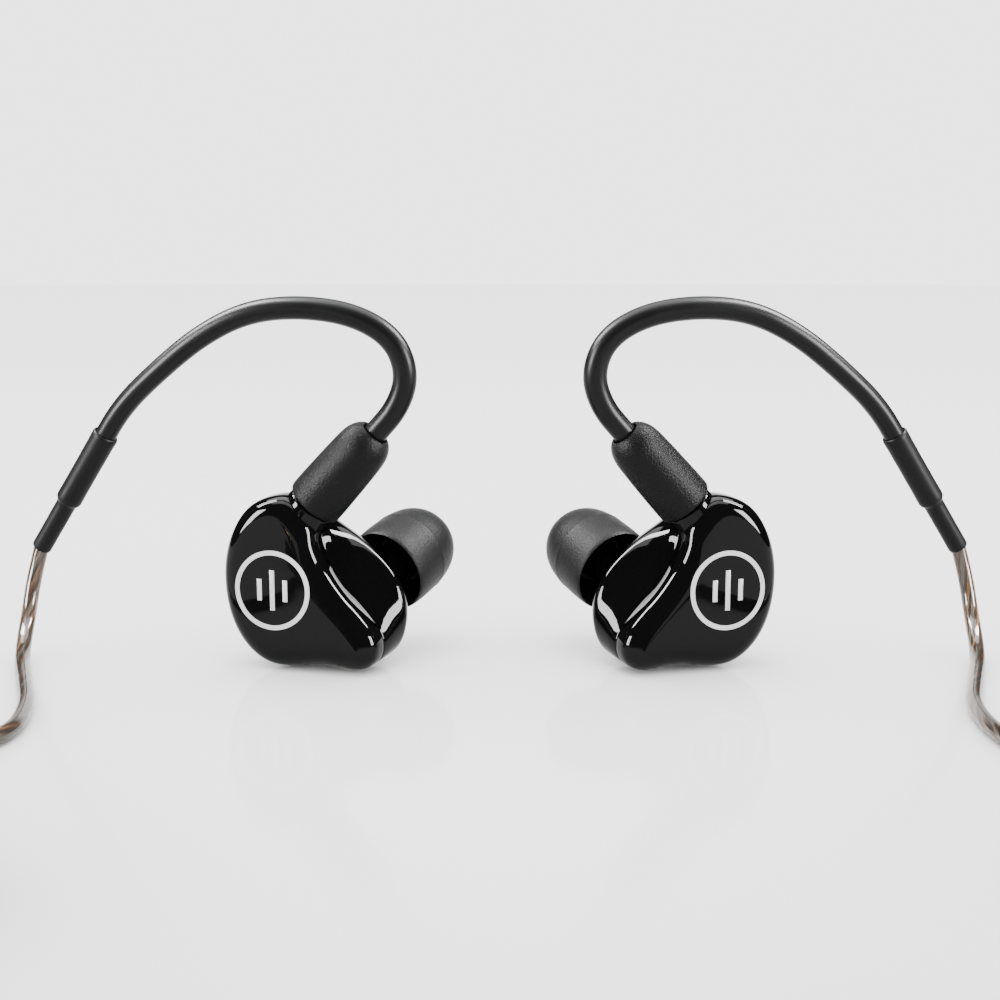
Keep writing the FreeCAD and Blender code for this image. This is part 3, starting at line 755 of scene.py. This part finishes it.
def nozzleRing(along, radius):  # its points face the same way round as the outline's
    toLocal = nozzleFrame.inverted()
    places = []
    for x, z in scaledEarSide(0.45):
        flat = toLocal @ (Vector((x, 14.0, z)) * mm)
        angle = atan2(flat.y, flat.x)
        place = nozzleFrame @ Vector((radius * mm * cos(angle), radius * mm * sin(angle), along * mm))
        places.append(tuple(place / mm))
    return places


faceRings = [ringAt(standIn(seam, amount), depth) for depth, amount in shell["face"]]
faceplate = loft("right_faceplate_shell", faceRings)
capFlat(faceplate, shell["flatCentre"])

seamRing = ringAt(seam, shell["seamDepth"])
earRing = ringAt(earSide, shell["earSideDepth"])
innerRings = [
    ringAt(standIn(seam, 0.16), 4.54), ringAt(standIn(seam, 0.05), 4.6), ringAt(seam, 4.75),
    mixRings(seamRing, earRing, 0.30), mixRings(seamRing, earRing, 0.62), mixRings(seamRing, earRing, 0.86),
    ringAt(earSide, 9.0), ringAt(scaledEarSide(0.985), 9.7), ringAt(scaledEarSide(0.93), 11.0),
    ringAt(scaledEarSide(0.82), 12.15),
    mixRings(ringAt(scaledEarSide(0.66), 12.95), nozzleRing(3.9, 5.2), 0.3),
    mixRings(ringAt(scaledEarSide(0.5), 13.3), nozzleRing(4.7, 3.9), 0.7),
]
innerRings += [nozzleRing(along, radius) for along, radius in shell["nozzle"]]
innerShell = loft("right_inner_shell_body", innerRings)

# the socket's hole goes through the seam between the two
deselectAll()
bpy.ops.mesh.primitive_cylinder_add(
    vertices=48, radius=shell["socketHole"] * mm, depth=shell["holeLength"] * mm, location=(0, 0, 0))
cutter = bpy.context.object
bakePlace(cutter, connectorFrame @ Matrix.Translation((0, 0, shell["holeShift"] * mm)))

for piece in (faceplate, innerShell):
    facesOutward(piece)
    applyModifier(piece, "SUBSURF", levels=1, render_levels=1)
    applyModifier(piece, "SOLIDIFY", thickness=shell["wall"] * mm, offset=-1, use_even_offset=False)
    applyModifier(piece, "BOOLEAN", object=cutter, operation="DIFFERENCE", solver="EXACT")
    bakePlace(piece, earFrame)
    smoothShade(piece, 38)
bpy.data.objects.remove(cutter)
finishPair(faceplate, "faceplate_shell", glossBlack, "right_shell", "gloss_black_shell", "faceplate")
finishPair(innerShell, "inner_shell_body", glossBlack, "right_shell", "gloss_black_shell", "inner_shell")

collar = {"outer": 3.55, "bore": 2.32}
collarProfile = [
    (-7.4, collar["bore"]), (-7.4, 4.5), (-5.4, 4.3), (-3.6, 3.95), (-2.2, 3.68), (-1.0, collar["outer"]),
    (-0.4, 3.52), (-0.16, 3.3), (-0.16, 2.6), (-0.3, collar["bore"]), (-4.0, collar["bore"]),
    (-7.4, collar["bore"])]
socketCollar = turnedShape("right_socket_collar", collarProfile, earFrame @ connectorFrame, 36, 0.12, 1)
finishPair(socketCollar, "socket_collar", glossBlack, "right_shell", "gloss_black_shell")
print("shells made")

# ---- the printed ring with its plain three-bar emblem ----
emblem = {
    "outer": 5.55, "inner": 4.9, "sunk": -0.1, "proud": 0.035, "barWidth": 0.7, "barPitch": 1.9,
    "barDepth": 0.13, "barMiddle": 0.03, "barRound": 0.03, "heights": (3.0, 5.6, 3.0)}
faceOut = alongAxis(Vector((0, 0, 0)), (0, -1, 0))
ringPiece = turnedShape("right_face_emblem", [
    (emblem["sunk"], emblem["inner"]), (emblem["proud"], emblem["inner"]), (emblem["proud"], emblem["outer"]),
    (emblem["sunk"], emblem["outer"]), (emblem["sunk"], emblem["inner"])], earFrame @ faceOut, 96, 0, 0)
parts = [ringPiece]
for index, height in enumerate(emblem["heights"]):
    deselectAll()
    bpy.ops.mesh.primitive_cube_add(
        size=1, location=((index - 1) * emblem["barPitch"] * mm, emblem["barMiddle"] * mm, 0))
    bar = bpy.context.object
    bar.scale = (emblem["barWidth"] * mm, emblem["barDepth"] * mm, height * mm)
    bakePlace(bar, earFrame)
    pick(bar)
    bpy.ops.object.mode_set(mode="EDIT")
    bpy.ops.mesh.bevel(offset=emblem["barRound"] * mm, segments=2)
    bpy.ops.object.mode_set(mode="OBJECT")
    parts.append(bar)
deselectAll()
for part in parts:
    part.select_set(True)
bpy.context.view_layer.objects.active = ringPiece
bpy.ops.object.join()
smoothShade(ringPiece, 30)
finishPair(ringPiece, "face_emblem", inkSilver, "right_shell", "inlay_silver", "face_inlay")

# ---- ear tips ----
tip = {"start": 7.4, "profile": [
    (0.0, 6.2), (0.9, 6.34), (2.4, 6.4), (4.2, 6.37), (5.75, 6.31), (5.9, 6.37), (6.05, 6.3), (7.4, 6.14),
    (8.7, 5.85), (9.7, 5.48), (10.6, 4.98), (11.4, 4.33), (12.0, 3.6), (12.3, 3.0), (12.4, 2.6), (12.25, 2.2),
    (11.6, 2.1), (9.4, 2.1), (9.3, 3.0), (9.0, 3.1), (3.9, 3.1), (3.8, 3.25), (3.8, 3.5), (4.0, 3.6),
    (8.6, 3.65), (9.3, 4.1), (9.45, 4.7), (8.9, 5.2), (7.6, 5.6), (5.8, 5.83), (3.0, 5.97), (0.6, 5.92),
    (0.0, 5.98), (0.0, 6.2)]}
tipFrame = earFrame @ nozzleFrame @ Matrix.Translation((0, 0, tip["start"] * mm))
earTip = turnedShape("right_silicone_tip", tip["profile"], tipFrame, 56, 0, 1)
finishPair(earTip, "silicone_tip", tipBlack, "right_tip", "tip_silicone", "ear_tip")

# ---- boots, hooks and sleeves ----
boot = {"profile": [
    (4.6, 2.4), (0.15, 2.4), (0.0, 2.6), (0.0, 3.7), (0.1, 3.9), (0.35, 3.99), (0.9, 4.02), (3.5, 3.98),
    (7.0, 3.87), (10.2, 3.74), (11.4, 3.58), (12.3, 3.28), (13.0, 2.86), (13.45, 2.4), (13.6, 2.05),
    (13.45, 1.9), (12.9, 1.82), (12.4, 1.6), (12.0, 1.56), (4.8, 1.56), (4.6, 1.7), (4.6, 2.4)]}
bootPiece = turnedShape("right_moulded_boot", boot["profile"], earFrame @ connectorFrame, 40, 0, 1)
finishPair(bootPiece, "moulded_boot", bootBlack, "cable_set", "boot_black", "boot")

# the hook as seen from the front, and the sleeve's line as (X, Z)
hook = {"radius": 1.52, "foot": 5.2, "turn": 18.4, "thickStart": 1.1, "thinning": 0.13, "view": [
    (-12.3, 41.1), (-14.1, 45.9), (-19.4, 49.0), (-26.6, 50.0), (-33.8, 49.3), (-40.3, 46.2), (-46.4, 41.5)]}
sleeve = {"top": (-54.95, 32.1), "end": (-65.9, 15.25), "endDepth": 1.65, "step": 22.5}
hookFoot = earFrame @ ((Vector(shell["connectorBase"]) + connectorAxis * hook["foot"]) * mm)
hookTurn = earFrame @ ((Vector(shell["connectorBase"]) + connectorAxis * hook["turn"]) * mm)
hookWay = (hookTurn - hookFoot).normalized()
hookEnd = Vector((sleeve["end"][0], sleeve["endDepth"], sleeve["end"][1])) * mm
hookNormal = hookWay.cross(hookEnd - hookFoot).normalized()


def inHookPlane(x, z):
    x, z = x * mm, z * mm
    along = (hookNormal.x * (x - hookFoot.x) + hookNormal.z * (z - hookFoot.z)) / hookNormal.y
    return Vector((x, hookFoot.y - along, z))


def onSleeveLine(height):
    (topX, topZ), (endX, endZ) = sleeve["top"], sleeve["end"]
    share = (height - endZ) / (topZ - endZ)
    return inHookPlane(endX + share * (topX - endX), height)


hookRoute = [hookFoot, hookFoot.lerp(hookTurn, 0.6), hookTurn]
hookRoute += [inHookPlane(x, z) for x, z in hook["view"]]
hookRoute += [onSleeveLine(36.1), onSleeveLine(30.0), onSleeveLine(22.3)]
deselectAll()
bpy.ops.curve.primitive_nurbs_path_add(radius=1, location=(0, 0, 0))
hookCurve = bpy.context.object
hookCurve.data.splines.clear()
hookLine = hookCurve.data.splines.new("NURBS")
hookLine.points.add(len(hookRoute) - 1)
for index, (point, place) in enumerate(zip(hookLine.points, hookRoute)):
    point.co = (*place, 1)
    # a little thicker where it leaves the boot
    point.radius = hook["thickStart"] - hook["thinning"] * index / (len(hookRoute) - 1)
hookLine.order_u = 3
hookLine.use_endpoint_u = True
hookCurve.data.resolution_u = 12
hookCurve.data.bevel_depth = hook["radius"] * mm
hookCurve.data.bevel_resolution = 8
hookCurve.data.use_fill_caps = True
hookCurve.name = "right_formed_hook"
pick(hookCurve)
bpy.ops.object.convert(target="MESH")
hookPiece = bpy.context.object
facesOutward(hookPiece)
smoothShade(hookPiece, 60)
finishPair(hookPiece, "formed_hook", hookBlack, "cable_set", "hook_black", "ear_hook")

sleeveHeights = (sleeve["top"][1], sleeve["step"], sleeve["end"][1])
sleeveTop, sleeveStep, sleeveEnd = (onSleeveLine(height) for height in sleeveHeights)
long = (sleeveStep - sleeveTop).length / mm
whole = (sleeveEnd - sleeveTop).length / mm
sleeveProfile = [
    (0.0, 1.5), (0.0, 1.6), (0.05, 1.74), (0.25, 1.84), (0.7, 1.86), (2.0, 1.8), (3.6, 1.83), (5.2, 1.79),
    (7.4, 1.82), (long - 2.2, 1.8), (long - 0.9, 1.84), (long - 0.2, 1.84), (long + 0.15, 1.76),
    (long + 0.35, 1.55), (long + 0.6, 1.42), (long + 1.2, 1.39), (long + 3.0, 1.41), (long + 5.5, 1.38),
    (whole - 0.5, 1.41), (whole - 0.12, 1.38), (whole, 1.26), (whole, 1.08), (whole - 0.3, 1.04),
    (long - 1.0, 1.04), (long - 1.6, 1.3), (0.6, 1.5), (0.0, 1.5)]
sleeveFrame = alongAxis(sleeveTop, sleeveEnd - sleeveTop)
sleevePiece = turnedShape("right_shrink_sleeve", sleeveProfile, sleeveFrame, 32, 0, 1)
finishPair(sleevePiece, "shrink_sleeve", sleeveBlack, "cable_set", "sleeve_black", "hook_sleeve")
print("tips, boots, hooks and sleeves made")

# ---- split, slider, tie and plug ----
split = {
    "x": -80.6, "start": -85.0, "length": 9.0, "halfWidth": 3.1, "bottom": 0.02, "thick": 4.4, "round": 1.2}
panel = {"margin": 0.35, "step": 0.12, "sunk": -0.18, "round": 0.06}
slider = {
    "gap": 0.6, "length": 5.5, "corner": 0.8, "bore": 1.17, "boreHeight": 2.2, "spacing": 2.6, "round": 0.08}


def softBlock(name, low, high, bevel, segments=5):
    deselectAll()
    low, high = Vector(low) * mm, Vector(high) * mm
    bpy.ops.mesh.primitive_cube_add(size=1, location=(low + high) / 2)
    obj = bpy.context.object
    obj.name = obj.data.name = name
    obj.scale = high - low
    bpy.ops.object.transform_apply(location=True, rotation=True, scale=True)
    bpy.ops.object.mode_set(mode="EDIT")
    bpy.ops.mesh.select_all(action="SELECT")
    bpy.ops.mesh.bevel(offset=bevel * mm, segments=segments, profile=0.5)
    bpy.ops.object.mode_set(mode="OBJECT")
    return obj


def sinkPanels(obj, margin, step, sunk):  # a shallow thumb panel, above and below
    pick(obj)
    bpy.ops.object.mode_set(mode="EDIT")
    bpy.ops.mesh.select_mode(type="FACE")
    bpy.ops.mesh.select_all(action="DESELECT")
    bpy.ops.object.mode_set(mode="OBJECT")
    for face in obj.data.polygons:
        face.select = abs(face.normal.z) > 0.98
    bpy.ops.object.mode_set(mode="EDIT")
    bpy.ops.mesh.inset(thickness=margin * mm)
    bpy.ops.mesh.inset(thickness=step * mm, depth=sunk * mm)
    bpy.ops.object.mode_set(mode="OBJECT")


blockLeft, blockRight = split["x"] - split["halfWidth"], split["x"] + split["halfWidth"]
splitPiece = softBlock(
    "branch_split", (blockLeft, split["start"], split["bottom"]),
    (blockRight, split["start"] + split["length"], split["thick"]), split["round"])
sinkPanels(splitPiece, panel["margin"], panel["step"], panel["sunk"])
roundEdges(splitPiece, panel["round"], 30)
smoothShade(splitPiece, 40)
finish(splitPiece, splitBlack, "cable_set", "splitter_black", "cable_split")

sliderHigh = split["start"] - slider["gap"]
sliderLow = sliderHigh - slider["length"]
sliderPiece = softBlock(
    "chin_slider_body", (blockLeft, sliderLow, split["bottom"]),
    (blockRight, sliderHigh, split["thick"]), slider["corner"])
for side in (-1, 1):
    deselectAll()
    bpy.ops.mesh.primitive_cylinder_add(
        vertices=32, radius=slider["bore"] * mm, depth=9 * mm, rotation=(pi / 2, 0, 0),
        location=(
            (split["x"] + side * slider["spacing"] / 2) * mm, (sliderLow + slider["length"] / 2) * mm,
            slider["boreHeight"] * mm))
    bore = bpy.context.object
    applyModifier(sliderPiece, "BOOLEAN", object=bore, operation="DIFFERENCE", solver="EXACT")
    bpy.data.objects.remove(bore)
roundEdges(sliderPiece, slider["round"], 40)
smoothShade(sliderPiece, 40)
finish(sliderPiece, splitBlack, "slider", "splitter_black", "chin_slider")

# the tie: a strap round the section of the coil, with its end lapped on top
tie = {
    "low": (7.4, 0.42), "high": (15.2, 10.37), "width": 5.0, "thick": 0.6, "turn": 2.2, "round": 0.12,
    "lap": [(7.9, 10.99), (10.0, 11.02), (12.0, 11.02), (13.4, 10.96)]}
(x0, z0), (x1, z1) = tie["low"], tie["high"]
turn = tie["turn"]
strap = []
for cornerX, cornerZ, first in (
        (x1 - turn, z1 - turn, 90), (x1 - turn, z0 + turn, 0), (x0 + turn, z0 + turn, -90),
        (x0 + turn, z1 - turn, -180)):
    for step in range(6):
        angle = radians(first - step * 18)
        strap.append((cornerX + turn * cos(angle), cornerZ + turn * sin(angle)))
strap += tie["lap"]


def strapPlace(place, y):  # out from the coil's centre, in metres
    return Vector((cable["coilCentre"][0] + place[0], y, place[1])) * mm


deselectAll()
bpy.ops.mesh.primitive_plane_add(size=1, location=(0, 0, 0))
tiePiece = bpy.context.object
tiePiece.name = tiePiece.data.name = "coil_tie_strap"
nearSide = cable["coilCentre"][1] - tie["width"] / 2
farSide = cable["coilCentre"][1] + tie["width"] / 2
corners = [(strap[0], nearSide), (strap[0], farSide), (strap[1], nearSide), (strap[1], farSide)]
for vertex, (place, y) in zip(tiePiece.data.vertices, corners):
    vertex.co = strapPlace(place, y)
for place in strap[2:]:
    pick(tiePiece)
    bpy.ops.object.mode_set(mode="EDIT")
    bpy.ops.mesh.select_mode(type="VERT")
    bpy.ops.mesh.select_all(action="DESELECT")
    bpy.ops.object.mode_set(mode="OBJECT")
    for vertex in tiePiece.data.vertices[-2:]:
        vertex.select = True
    bpy.ops.object.mode_set(mode="EDIT")
    bpy.ops.mesh.select_mode(type="EDGE")
    bpy.ops.mesh.extrude_region_move()
    bpy.ops.object.mode_set(mode="OBJECT")
    for vertex in tiePiece.data.vertices[-2:]:
        vertex.co = strapPlace(place, vertex.co.y / mm)
applyModifier(tiePiece, "SOLIDIFY", thickness=tie["thick"] * mm, offset=0)
roundEdges(tiePiece, tie["round"], 50)
applyModifier(tiePiece, "SUBSURF", levels=1, render_levels=1)
smoothShade(tiePiece, 50)
finish(tiePiece, strapFabric, "cable_set", "tie_fabric", "cable_tie")

plug = {
    "centre": (-73.4, -85.2, 12.6), "halfSize": (3.5, 3.5, 3.1), "corner": 1.5, "relief": 7.8, "ribs": 4,
    "firstRib": 0.7, "ribPitch": 1.55, "ribSize": 1.5, "ribGrowth": 0.2, "margin": 0.3, "step": 0.1,
    "sunk": -0.15}
plugCentre, plugHalf = Vector(plug["centre"]), Vector(plug["halfSize"])
headPiece = softBlock("plug_moulded_head", plugCentre - plugHalf, plugCentre + plugHalf, plug["corner"], 6)
sinkPanels(headPiece, plug["margin"], plug["step"], plug["sunk"])
roundEdges(headPiece, panel["round"], 30)
smoothShade(headPiece, 40)
finish(headPiece, bootBlack, "cable_set", "boot_black", "plug_head")

reliefProfile = [(0.0, 1.12), (0.0, 1.3), (0.15, 1.42)]
for rib in range(plug["ribs"]):  # flex ribs that grow towards the head
    base = plug["firstRib"] + rib * plug["ribPitch"]
    size = plug["ribSize"] + rib * plug["ribGrowth"]
    reliefProfile += [
        (base, size), (base + 0.85, size + 0.08), (base + 1.0, size - 0.28), (base + 1.4, size - 0.24)]
reliefProfile += [(7.0, 2.3), (8.6, 2.35), (8.8, 1.2), (0.0, 1.12)]
reliefFrame = alongAxis((plugCentre - Vector((0, plugHalf.y + plug["relief"], 0))) * mm, (0, 1, 0))
reliefPiece = turnedShape("plug_ribbed_relief", reliefProfile, reliefFrame, 32, 0.05, 1)
finish(reliefPiece, bootBlack, "cable_set", "boot_black", "plug_strain_relief")
print("split, slider, tie and plug made")

# ---- the frame's own metal and inner parts keep their shapes ----
kept = {
    springSteel: ["nozzle_grille", "snap_ring", "memory_wire"],
    foamGrey: ["nozzle_damper"],
    driverGrey: ["driver_frame"],
    magnetGrey: ["driver_magnet"],
    copperWire: ["driver_voice_coil", "lead_wires", "hook_core"],
    filmClear: ["driver_diaphragm"],
    goldPlate: ["socket_sleeve", "socket_contact", "plug_barrel", "plug_pin"],
    insulatorWhite: ["socket_insulator", "plug_insulator"],
}
for material, names in kept.items():
    for name in names:
        for side in ("right_", "left_"):
            node = nodes[side + name]
            node.data.materials.clear()
            node.data.materials.append(material)
for name, material in (("plug_sleeve_contact", goldPlate), ("plug_ring_contact", goldPlate),
                       ("plug_tip_contact", goldPlate), ("plug_insulators", splitBlack)):
    nodes[name].data.materials.clear()
    nodes[name].data.materials.append(material)

# ---- cords: their pieces are only read back from the table here ----
for name, sign in (("right_branch_cord", 1), ("left_branch_cord", -1)):
    cord, line, copper, silver = cords[name]
cord, line, copper, silver = cords["trunk_cord"]

# ---- floor ----
deselectAll()
bpy.ops.mesh.primitive_circle_add(vertices=64, radius=3, fill_type="NGON", location=(0, 0, -0.00005))
floor = bpy.context.object
floor.name = "floor"
floorMaterial, floorTree = newMaterial("studioFloor")
floorOut = floorTree.nodes.new("ShaderNodeOutputMaterial")
floorOut.label = "surface"
floorOut.location = (500, 0)
paintedTop = floorTree.nodes.new("ShaderNodeBsdfDiffuse")
paintedTop.label = "white table top"
paintedTop.location = (0, 100)
paintedTop.inputs["Color"].default_value = (0.93, 0.93, 0.93, 1)
faintShine = floorTree.nodes.new("ShaderNodeBsdfGlossy")
faintShine.label = "faint shine"
faintShine.location = (0, -100)
faintShine.inputs["Color"].default_value = (1, 1, 1, 1)
faintShine.inputs["Roughness"].default_value = 0.1
topMix = floorTree.nodes.new("ShaderNodeMixShader")
topMix.label = "mostly matt"
topMix.location = (260, 0)
topMix.inputs["Fac"].default_value = 0.12
floorTree.links.new(paintedTop.outputs["BSDF"], topMix.inputs[1])
floorTree.links.new(faintShine.outputs["BSDF"], topMix.inputs[2])
floorTree.links.new(topMix.outputs["Shader"], floorOut.inputs["Surface"])
frameNodes(floorTree, "table top", [paintedTop, faintShine, topMix])
floor.data.materials.append(floorMaterial)
for strip in strips:  # the strips light the pieces only, so the floor shows no bright patches
    pick(floor)
    strip.select_set(True)
    bpy.context.view_layer.objects.active = strip
    bpy.ops.object.light_linking_receivers_link(link_state="EXCLUDE")
